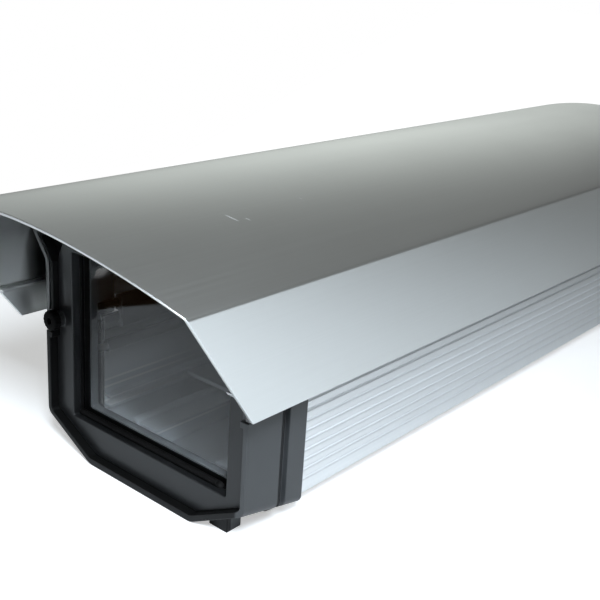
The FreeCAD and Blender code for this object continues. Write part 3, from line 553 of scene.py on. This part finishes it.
def softenedCopy(name, node, finish, body, width, joined):
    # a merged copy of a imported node, its flat faces joined where asked, its edges rounded by a Bevel
    mesh = nodes[node].data.copy()
    work = mergedWork(mesh)
    if joined:
        bmesh.ops.dissolve_limit(work, angle_limit=math.radians(meshWork["flatTurn"]), verts=work.verts,
                                 edges=work.edges)
    storeSmooth(mesh, work)
    mesh.materials.clear()
    mesh.materials.append(finishes[finish])
    piece = bpy.data.objects.new(name, mesh)
    bevel = piece.modifiers.new("edges", "BEVEL")
    bevel.width = width * mm
    bevel.segments = meshWork["edgeSegments"]
    bevel.limit_method = "ANGLE"
    bevel.angle_limit = math.radians(meshWork["edgeTurn"])
    bevel.use_clamp_overlap = False
    flats = piece.modifiers.new("flats", "WEIGHTED_NORMAL")     # large faces stay flat, edges take the turn
    flats.mode = "FACE_AREA"
    flats.weight = meshWork["flatWeight"]
    finishPiece(piece, body, (node,))


def gridFaces(rows, columns):
    # quads between neighbouring rows of a grid whose columns close on themselves
    r, c = np.meshgrid(np.arange(rows - 1), np.arange(columns), indexing="ij")
    n = (c + 1) % columns
    quads = np.stack((r * columns + c, r * columns + n, (r + 1) * columns + n, (r + 1) * columns + c), axis=-1)
    return quads.reshape(-1, 4).tolist()


def closedGrid(grid):
    # grid of points (rows, columns, 3) as a tube with both ends closed
    rows, columns = grid.shape[:2]
    faces = gridFaces(rows, columns)
    faces.append(list(range(columns)))
    faces.append(list(range((rows - 1) * columns, rows * columns)))
    return grid.reshape(-1, 3), faces


def roundedLoop(corners, radii, steps=5):
    # closed outline through corners, each cut by an arc of its own radius:
    # the arc's centre lies on the corner's bisector, radius / sin(half angle) away; points that fall together go
    points = np.asarray(corners, float)
    radii = np.asarray(radii, float)[:, None]
    back = np.roll(points, 1, axis=0) - points
    ahead = np.roll(points, -1, axis=0) - points
    back /= np.linalg.norm(back, axis=1)[:, None]
    ahead /= np.linalg.norm(ahead, axis=1)[:, None]
    half = np.arccos(np.clip((back * ahead).sum(axis=1), -1, 1))[:, None] / 2
    bisector = back + ahead
    bisector /= np.linalg.norm(bisector, axis=1)[:, None]
    centre = points + bisector * radii / np.sin(half)
    first = points + back * radii / np.tan(half) - centre
    last = points + ahead * radii / np.tan(half) - centre
    sweep = (np.pi - 2 * half)[:, :, None]
    t = np.linspace(0, 1, steps)[None, :, None]
    arc = np.sin((1 - t) * sweep) * first[:, None, :] + np.sin(t * sweep) * last[:, None, :]
    loop = (arc / np.sin(sweep) + centre[:, None, :]).reshape(-1, 2)
    return loop[np.linalg.norm(loop - np.roll(loop, 1, axis=0), axis=1) > 1e-4]


def insetLoop(loop, inset):
    # outline moved inwards along its normals, which point to the left of its direction
    ahead = np.roll(loop, -1, axis=0) - np.roll(loop, 1, axis=0)
    ahead /= np.linalg.norm(ahead, axis=1)[:, None]
    area = (loop[:, 0] * np.roll(loop[:, 1], -1) - np.roll(loop[:, 0], -1) * loop[:, 1]).sum()
    inward = np.stack((-ahead[:, 1], ahead[:, 0]), axis=1) * np.sign(area)
    return loop + inward * inset


def sweptOutline(loop, front, slope, rear, edge, steps=4):
    # outline (x, z) carried along Y from the plane y = front - slope * z to rear;
    # both cut edges are quarter rounds: inset = edge (1 - sin a), y = edge (1 - cos a) from the end
    angles = np.linspace(0, np.pi / 2, steps + 1)
    rows = []
    for a in angles:
        outline = insetLoop(loop, edge * (1 - math.sin(a)))
        rows.append((outline, front - slope * outline[:, 1] + edge * (1 - math.cos(a))))
    for a in angles[::-1]:
        outline = insetLoop(loop, edge * (1 - math.sin(a)))
        rows.append((outline, np.full(len(loop), rear - edge * (1 - math.cos(a)))))
    grid = np.stack([np.stack((outline[:, 0], y, outline[:, 1]), axis=-1) for outline, y in rows])
    return closedGrid(grid)


shield = {"creaseX": 66.1, "creaseZ": 99.8, "top": 118.25, "wall": 1.6, "tipX": 63.1, "tipZ": 55.0, "tipInner": 61.6,
          "finZ": 67.3, "finWall": 1.5, "finTip": 59.8, "cutY": -6.4, "cutSlope": 0.74, "rear": 370.0,
          "creaseRound": 1.3, "creaseInner": 0.3, "edgeRound": 0.45, "finRound": 0.4, "cornerRound": 0.2,
          "riseShare": 0.85, "archPoints": 47, "cutRound": 0.25, "sharp": 32.0}
rail = {"x": 30.0, "half": 5.5, "wall": 1.5, "lip": 1.4, "slot": 3.0, "bottom": 106.6, "front": 25.0,
        "round": 0.3, "rootRound": 0.1, "cutRound": 0.1, "crownPoints": 201}


def archLine(drop, count):
    # points of the roof arch moved inwards by drop: circle through both creases and the crown,
    # of radius (half chord squared + rise squared) / (2 rise)
    x = shield["creaseX"] - drop
    rise = shield["top"] - shield["creaseZ"] - drop * shield["riseShare"]
    radius = (x * x + rise * rise) / (2 * rise)
    turn = np.linspace(-1, 1, count) * math.asin(x / radius)
    return np.stack((radius * np.sin(turn), shield["top"] - drop - radius + radius * np.cos(turn)), axis=1)


def shieldLoop():
    # one closed outline of the sheet: roof and flaps outside, then fins and roof inside
    count = shield["archPoints"]
    outer, inner = archLine(0.0, count), archLine(shield["wall"], count)
    low, fin = shield["tipZ"], shield["finZ"]
    lean = (shield["creaseX"] - shield["wall"] - shield["tipInner"]) / (shield["creaseZ"] - low)
    right = [(shield["tipX"], low), (shield["tipInner"], low),
             (shield["tipInner"] + lean * (fin - low), fin), (shield["finTip"], fin),
             (shield["finTip"], fin + shield["finWall"]),
             (shield["tipInner"] + lean * (fin + shield["finWall"] - low), fin + shield["finWall"])]
    left = [(-x, z) for x, z in reversed(right)]
    edge, corner, fold = shield["edgeRound"], shield["cornerRound"], shield["finRound"]
    rightRound = [edge, edge, corner, fold, fold, corner]
    outerRound, innerRound = np.zeros(count), np.zeros(count)
    outerRound[[0, -1]] = shield["creaseRound"]
    innerRound[[0, -1]] = shield["creaseInner"]
    corners = np.concatenate((outer, right, inner[::-1], left))
    return roundedLoop(corners, np.concatenate((outerRound, rightRound, innerRound, rightRound[::-1])))


def railLoops():
    # two hooked strips for each rail, hanging from the roof and turned in along the slot
    crown = archLine(shield["wall"] / 2, rail["crownPoints"])
    low, high = rail["bottom"], rail["bottom"] + rail["lip"]
    offsets = (rail["half"], rail["half"] - rail["wall"], rail["slot"])
    loops = []
    for side in (-1, 1):
        for hand in (-1, 1):
            outer, inner, lip = (side * rail["x"] + hand * offset for offset in offsets)
            topOuter, topInner = np.interp((outer, inner), crown[:, 0], crown[:, 1])
            corners = [(outer, low), (lip, low), (lip, high), (inner, high), (inner, topInner), (outer, topOuter)]
            loops.append(roundedLoop(corners, [rail["round"]] * 4 + [rail["rootRound"]] * 2, steps=3))
    return loops


def makeSunshield():
    # the sheet's outline carried from the slanting front cut to the rear, the rails' from a straight one
    front = shield["cutY"] + shield["cutSlope"] * shield["tipZ"]
    parts = [sweptOutline(shieldLoop(), front, shield["cutSlope"], shield["rear"], shield["cutRound"])]
    parts += [sweptOutline(strip, rail["front"], 0.0, shield["rear"], rail["cutRound"], steps=1)
              for strip in railLoops()]
    addPiece("sunshieldSheet", parts, "anodised_shield", "cover", ("sunshield",), shield["sharp"])


makeSunshield()
print("sunshield made")

# node: piece, finish, body, edge width in mm, whether its flat faces are joined first
softEdges = {"front_cap": ("capShell", "cap_black", "tray", 0.2, False),
             "window_bezel": ("bezelPlate", "bezel_black", "tray", 0.35, True),
             "rear_cap": ("rearCapShell", "cap_black", "tray", 0.25, False),
             "window_glass": ("windowPane", "clear_glass", "tray", 0.3, True),
             "gland_nut_left": ("glandNutLeft", "nylon_black", "gland_nut_left", 0.2, False),
             "gland_nut_middle": ("glandNutMiddle", "nylon_black", "gland_nut_middle", 0.2, False),
             "gland_nut_right": ("glandNutRight", "nylon_black", "gland_nut_right", 0.2, False),
             "camera_sled": ("cameraSled", "sled_aluminium", "sled", 0.25, True)}
for node, (name, finish, body, width, joined) in softEdges.items():
    softenedCopy(name, node, finish, body, width, joined)
print("soft edged copies made:", len(softEdges))


def roundAxis(along, radius, turn, centre, axis):
    # closed grid of points: cos and sin of turn times radius across the axis, along on it
    along = np.broadcast_to(along, radius.shape)
    a, b = radius * np.cos(turn), radius * np.sin(turn)
    grid = np.stack((a, along, b), axis=-1) if axis == "y" else np.stack((a, -b, along), axis=-1)
    return closedGrid(grid + np.asarray(centre, float))


def turned(profile, columns, centre, axis, shape=None):
    # profile of (distance along the axis, radius) carried round it; shape(turn, row) scales the radius
    profile = np.asarray(profile, float)
    turn = (np.arange(columns) * 2 * np.pi / columns)[None, :]
    radius = np.broadcast_to(profile[:, 1:2], (len(profile), columns)).copy()
    if shape is not None:
        radius *= shape(turn, np.arange(len(profile))[:, None])
    return roundAxis(profile[:, 0:1], radius, turn, centre, axis)


toothShape = {"steep": 1.25, "flat": 0.1}      # slope of a thread's sides, and the share cut off at its root


def threaded(start, end, radius, pitch, depth, centre, axis, columns, perTurn):
    # rod whose radius falls from crest to root along a helix:
    # radius - depth * (1 - tooth(distance / pitch - turn / whole turn)), run out to the root at both ends
    rows = int((end - start) / pitch * perTurn) + 1
    along = np.linspace(start, end, rows)[:, None]
    turn = (np.arange(columns) * 2 * np.pi / columns)[None, :]
    phase = (along / pitch - turn / (2 * np.pi)) % 1.0
    tooth = np.clip(np.abs(phase * 2 - 1) * toothShape["steep"] - toothShape["flat"], 0, 1)
    runOut = np.clip(np.minimum(along - start, end - along) / pitch, 0, 1)
    return roundAxis(along, radius - depth * (1 - tooth * runOut), turn, centre, axis)


def knurlShare(turn, count, depth):
    # 1 on the ridges round a grip, less in the grooves between them: 1 - depth * wave
    return 1 - depth * np.clip(-np.cos(turn * count), 0, 1)


def hexagonShare(turn):
    # distance to a hexagon's side over the distance to its flat
    return 1.0 / np.cos((turn % (np.pi / 3)) - np.pi / 6)


knob = {"x": -50.4, "z": 55.0, "front": -1.9, "seat": 1.0, "radius": 4.1, "knurls": 16, "knurlDepth": 0.07,
        "socket": 1.25, "socketDeep": 1.5, "socketLip": 0.15, "round": 0.6, "gripEnd": 0.7, "collar": 0.45,
        "collarCut": 0.3, "neck": 1.7, "neckIn": 0.2, "neckEnd": 36.0, "threadFrom": 35.5, "shank": 2.0,
        "end": 44.0, "pitch": 0.7, "threadDeep": 0.35, "axis": 0.02, "columns": 96, "neckColumns": 24, "perTurn": 6,
        "nosePoints": 5, "sharp": 40.0}


def makeKnob():
    # knurled head with a hexagon socket, and its threaded shank
    front, seat, r, axis = (knob[k] for k in ("front", "seat", "radius", "axis"))
    deep, hexagon, lip = front + knob["socketDeep"], knob["socket"], knob["socketLip"]
    arc = np.linspace(0, np.pi / 2, knob["nosePoints"])
    nose = [(front + knob["round"] * (1 - math.sin(t)), r - knob["round"] * (1 - math.cos(t))) for t in arc]
    socket = [(deep, axis), (deep, hexagon), (front + lip, hexagon), (front, hexagon + lip)]
    head = socket + nose[::-1] + [(seat - knob["gripEnd"], r), (seat - knob["collar"], r),
                                  (seat, r - knob["collarCut"]), (seat, axis)]
    knurled = (len(socket) + 1, len(socket) + len(nose) + 1)

    def shape(turn, row):
        # hexagon in the socket's rows, a wave of fine flutes in the grip's rows
        inHexagon = (row >= 1) & (row < 3)
        inGrip = (row >= knurled[0]) & (row < knurled[1])
        grip = knurlShare(turn, knob["knurls"], knob["knurlDepth"])
        return np.where(inHexagon, hexagonShare(turn), np.where(inGrip, grip, 1.0))

    centre = (knob["x"], 0.0, knob["z"])
    neckStart, neck, neckEnd = seat - knob["neckIn"], knob["neck"], knob["neckEnd"]
    rod = [(neckStart, axis), (neckStart, neck), (neckEnd, neck), (neckEnd, axis)]
    parts = [turned(head, knob["columns"], centre, "y", shape), turned(rod, knob["neckColumns"], centre, "y"),
             threaded(knob["threadFrom"], knob["end"], knob["shank"], knob["pitch"], knob["threadDeep"], centre,
                      "y", knob["neckColumns"], knob["perTurn"])]
    addPiece("closingKnob", parts, "knob_black", "closing_screw", ("closing_screw",), knob["sharp"])


makeKnob()

# the head's profile is in (height above its foot, radius) below and (depth under its top, cut of the radius) above
thumb = {"y": 150.0, "top": 11.8, "high": 6.6, "radius": 9.0, "knurls": 24, "knurlDepth": 0.06, "grip": (4, 7),
         "hollow": [(0.8, 0.05), (0.8, 4.5), (0.0, 4.9)], "lower": [(0.0, 1.0), (0.3, 0.4), (0.9, 0.0)],
         "upper": [(0.7, 0.0), (0.3, 0.2), (0.0, 0.6)], "axis": 0.05, "shank": 3.1, "shankIn": 0.3, "end": 21.5,
         "pitch": 1.27, "threadDeep": 0.6, "columns": 144, "rodColumns": 28, "perTurn": 8, "sharp": 40.0}


def makeCameraScrew():
    # knurled thumb head under the slide, hollow below, and the threaded end above
    low, top, r = thumb["top"] - thumb["high"], thumb["top"], thumb["radius"]
    head = [(low + up, radius) for up, radius in thumb["hollow"]]
    head += [(low + up, r - cut) for up, cut in thumb["lower"]]
    head += [(top - down, r - cut) for down, cut in thumb["upper"]] + [(top, thumb["axis"])]

    def shape(turn, row):
        # a wave of fine flutes in the grip's rows
        first, last = thumb["grip"]
        return np.where((row >= first) & (row <= last), knurlShare(turn, thumb["knurls"], thumb["knurlDepth"]), 1.0)

    centre = (0.0, thumb["y"], 0.0)
    parts = [turned(head, thumb["columns"], centre, "z", shape),
             threaded(top - thumb["shankIn"], thumb["end"], thumb["shank"], thumb["pitch"], thumb["threadDeep"],
                      centre, "z", thumb["rodColumns"], thumb["perTurn"])]
    addPiece("cameraThumbScrew", parts, "zinc_steel", "camera_screw", ("camera_screw",), thumb["sharp"])


makeCameraScrew()
print("screws made")

view = {"place": (0.2474, -0.39147, 0.19905), "yaw": 39.18, "pitch": 20.01, "roll": 3.86, "lens": 58.43,
        "sensor": 36.0, "near": 0.01}


def addCamera():
    # looks along yaw and pitch, turned about its own axis by roll
    yaw, pitch, roll = (math.radians(view[k]) for k in ("yaw", "pitch", "roll"))
    ahead = Vector((-math.sin(yaw) * math.cos(pitch), math.cos(yaw) * math.cos(pitch), -math.sin(pitch)))
    right = ahead.cross(Vector((0, 0, 1))).normalized()
    up = right.cross(ahead)
    across = right * math.cos(roll) + up * math.sin(roll)
    upward = up * math.cos(roll) - right * math.sin(roll)
    data = bpy.data.cameras.new("view")
    data.lens = view["lens"]
    data.sensor_width = view["sensor"]
    data.clip_start = view["near"]
    camera = bpy.data.objects.new("view", data)
    turn = Matrix((across, upward, -ahead)).transposed().to_4x4()
    camera.matrix_world = Matrix.Translation(Vector(view["place"])) @ turn
    bpy.context.scene.collection.objects.link(camera)
    bpy.context.scene.camera = camera


backdrop = {"mirrorShare": 0.10}      # how much of the white background metal and glass show
# paper under the housing: it glows more, and so hides the shadow, the further it lies from the housing's box
floorSheet = {"corners": [(0.076, -0.723), (2.2, -0.723), (2.2, 3.6), (-2.2, 3.6)], "height": -0.0002,
              "colour": grey(0.80), "rough": 0.9, "shine": 0.1, "middle": (-0.02, -0.02), "half": (0.07, 0.20),
              "away": (0.12, 0.42), "lift": (0.48, 1.0)}


def seenShare(tree):
    # 1 for the eye, a part of it for mirrors and glass, 0 for light that falls on things
    path = addNode(tree, "ShaderNodeLightPath")
    mirrored = mathNode(tree, "MAXIMUM", path.outputs["Is Glossy Ray"], path.outputs["Is Transmission Ray"])
    return mathNode(tree, "MAXIMUM", path.outputs["Is Camera Ray"],
                    product(tree, mirrored, backdrop["mirrorShare"]))


def addFloor():
    # pale sheet under the housing, clear from below; its left edge runs past the window's side.
    # Distance from the box: root of the squared gaps |x - middle| - half in x and y
    mesh = bpy.data.meshes.new("floor")
    mesh.from_pydata([(x, y, floorSheet["height"]) for x, y in floorSheet["corners"]], [], [(0, 1, 2, 3)])
    floor = bpy.data.objects.new("floor", mesh)
    bpy.context.scene.collection.objects.link(floor)
    material, tree, shader = freshMaterial("floorPaper")
    shader.inputs["Base Color"].default_value = floorSheet["colour"]
    shader.inputs["Roughness"].default_value = floorSheet["rough"]
    shader.inputs["Specular IOR Level"].default_value = floorSheet["shine"]
    shader.inputs["Emission Color"].default_value = grey(1.0)
    squares = []
    for value, middle, half in zip(objectAxes(tree), floorSheet["middle"], floorSheet["half"]):
        gap = mathNode(tree, "SUBTRACT", mathNode(tree, "ABSOLUTE", mathNode(tree, "SUBTRACT", value, middle)), half)
        squares.append(mathNode(tree, "POWER", mathNode(tree, "MAXIMUM", gap, 0.0), 2.0))
    away = mathNode(tree, "SQRT", mathNode(tree, "ADD", *squares))
    lift = rangeNode(tree, away, *floorSheet["away"], *floorSheet["lift"], True)
    link(tree, product(tree, lift, seenShare(tree)), shader.inputs["Emission Strength"])
    addMix(tree, addNode(tree, "ShaderNodeNewGeometry").outputs["Backfacing"], shader,
           addNode(tree, "ShaderNodeBsdfTransparent"))
    mesh.materials.append(material)


# the room that metal and glass show. Directions are (turn from Y, rise) in degrees. levels: brightness by
# angle from a pale wall low at the left rear; dark: a darker corner beside it that the pane shows, full within the
# first angle and gone at the second; below: brown ground past the sheet's edge; lamp: a small pale spot in it
room = {"towards": (-37.0, 7.0), "tone": (0.965, 1.02, 0.97),
        "levels": [(0, 0.98), (10, 0.84), (18, 0.66), (26, 0.42), (34, 0.17), (45, 0.10), (90, 0.065), (180, 0.06)],
        "darkTowards": (14.0, 4.0), "dark": (12.0, 32.0), "darkTone": grey(0.03),
        "below": (0.050, 0.028, 0.012, 1.0), "horizon": (-0.02, 0.0),
        "lampTowards": (-128.05, -18.05), "lamp": (0.5, 1.2), "lampTone": grey(3.2)}


def aimedShare(tree, ahead, towards):
    # cosine of the angle between a direction and (turn, rise)
    turn, rise = (math.radians(v) for v in towards)
    dot = addNode(tree, "ShaderNodeVectorMath", operation="DOT_PRODUCT")
    link(tree, ahead, dot.inputs[0])
    dot.inputs[1].default_value = (math.sin(turn) * math.cos(rise), math.cos(turn) * math.cos(rise), math.sin(rise))
    return dot.outputs["Value"]


def aimedSpot(tree, ahead, towards, fade):
    # 1 close to a direction, fading to 0 between the two angles of fade
    near, far = (math.cos(math.radians(v)) for v in fade)
    return rangeNode(tree, aimedShare(tree, ahead, towards), far, near, 0.0, 1.0, True)


def addWorld():
    # white for the eye; the dim room for metal and glass, its ground below the horizon
    world = bpy.data.worlds.new("room")
    bpy.context.scene.world = world
    world.use_nodes = True
    tree = world.node_tree
    ahead = addNode(tree, "ShaderNodeTexCoord").outputs["Generated"]
    ramp = addNode(tree, "ShaderNodeValToRGB")
    stops = [((math.cos(math.radians(angle)) + 1) / 2, level) for angle, level in reversed(room["levels"])]
    stops = [(place, tuple(level * share for share in room["tone"]) + (1.0,)) for place, level in stops]
    for element, (place, tone) in zip(ramp.color_ramp.elements, (stops[0], stops[-1])):
        element.position, element.color = place, tone
    for place, tone in stops[1:-1]:
        ramp.color_ramp.elements.new(place).color = tone
    link(tree, rangeNode(tree, aimedShare(tree, ahead, room["towards"]), -1.0, 1.0, 0.0, 1.0), ramp.inputs["Fac"])
    dark = aimedSpot(tree, ahead, room["darkTowards"], room["dark"])
    walls = mixColours(tree, dark, ramp.outputs["Color"], room["darkTone"])
    lit = mixColours(tree, seenShare(tree), walls, grey(1.0))
    lamp = aimedSpot(tree, ahead, room["lampTowards"], room["lamp"])
    ground = mixColours(tree, lamp, room["below"], room["lampTone"])
    down = mixColours(tree, addNode(tree, "ShaderNodeLightPath").outputs["Is Camera Ray"], ground, grey(1.0))
    above = rangeNode(tree, splitAxes(tree, ahead)[2], *room["horizon"], 0.0, 1.0)
    link(tree, mixColours(tree, above, down, lit), tree.nodes["Background"].inputs["Color"])


keyLamp = {"place": (0.38, -0.47, 0.50), "aim": (0.16, -0.65, 0.0), "size": 0.19, "power": 9.9,
           "tint": (0.835, 0.92, 1.0)}


def addLamp():
    # one square lamp high at the right in front
    data = bpy.data.lights.new("key", "AREA")
    data.shape = "SQUARE"
    data.size = keyLamp["size"]
    data.energy = keyLamp["power"]
    data.color = keyLamp["tint"]
    lamp = bpy.data.objects.new("key", data)
    lamp.location = keyLamp["place"]
    aim = Vector(keyLamp["aim"]) - Vector(keyLamp["place"])
    lamp.rotation_euler = aim.to_track_quat("-Z", "Y").to_euler()
    bpy.context.scene.collection.objects.link(lamp)


addCamera()
addFloor()
addWorld()
addLamp()
bpy.context.scene.view_settings.view_transform = "Standard"
print("camera, floor and light placed")
